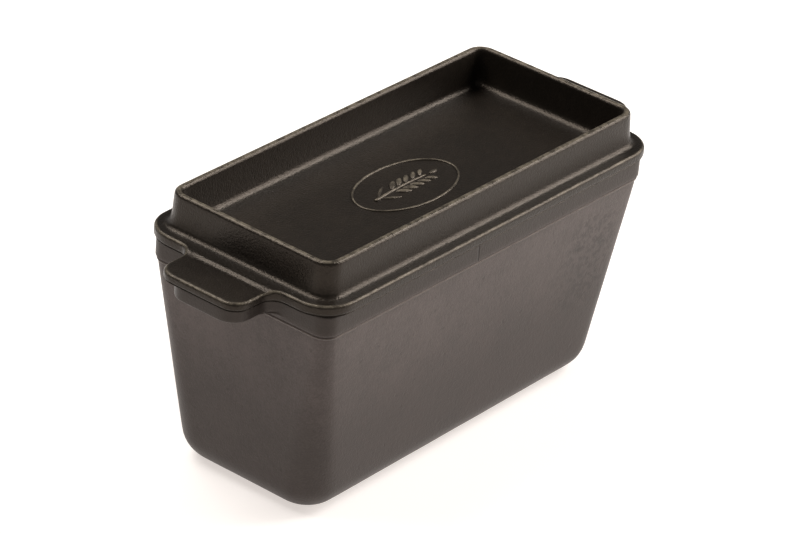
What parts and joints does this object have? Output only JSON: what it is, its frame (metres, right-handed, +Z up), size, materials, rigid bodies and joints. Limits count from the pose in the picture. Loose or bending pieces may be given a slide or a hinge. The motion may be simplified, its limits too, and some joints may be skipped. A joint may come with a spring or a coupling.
{
  "type": "lidded loaf pan",
  "caption": "Deep tapered cast-iron loaf pan with tab handles and a lift-off lid whose raised wall forms a shallow tray on top.",
  "frame": {"origin": "middle of the pan's base, on the surface that the pan stands on", "axes": "+X along the pan towards one tab handle, +Y across it, +Z up through the lid"},
  "size_m": [0.3576, 0.14, 0.1717],
  "materials": {
    "pan_iron": "seasoned, satin, fine sand-cast grain",
    "lid_iron": "seasoned, satin, fine sand-cast grain"
  },
  "bodies": {
    "pan": {"pan": "pan_iron"},
    "lid": {"lid": "lid_iron"}
  },
  "joints": [
    {"name": "lid_lift", "type": "slide", "parent": "pan", "child": "lid", "axis": [0, 0, 1], "range_m": [0, 0.2]}
  ]
}
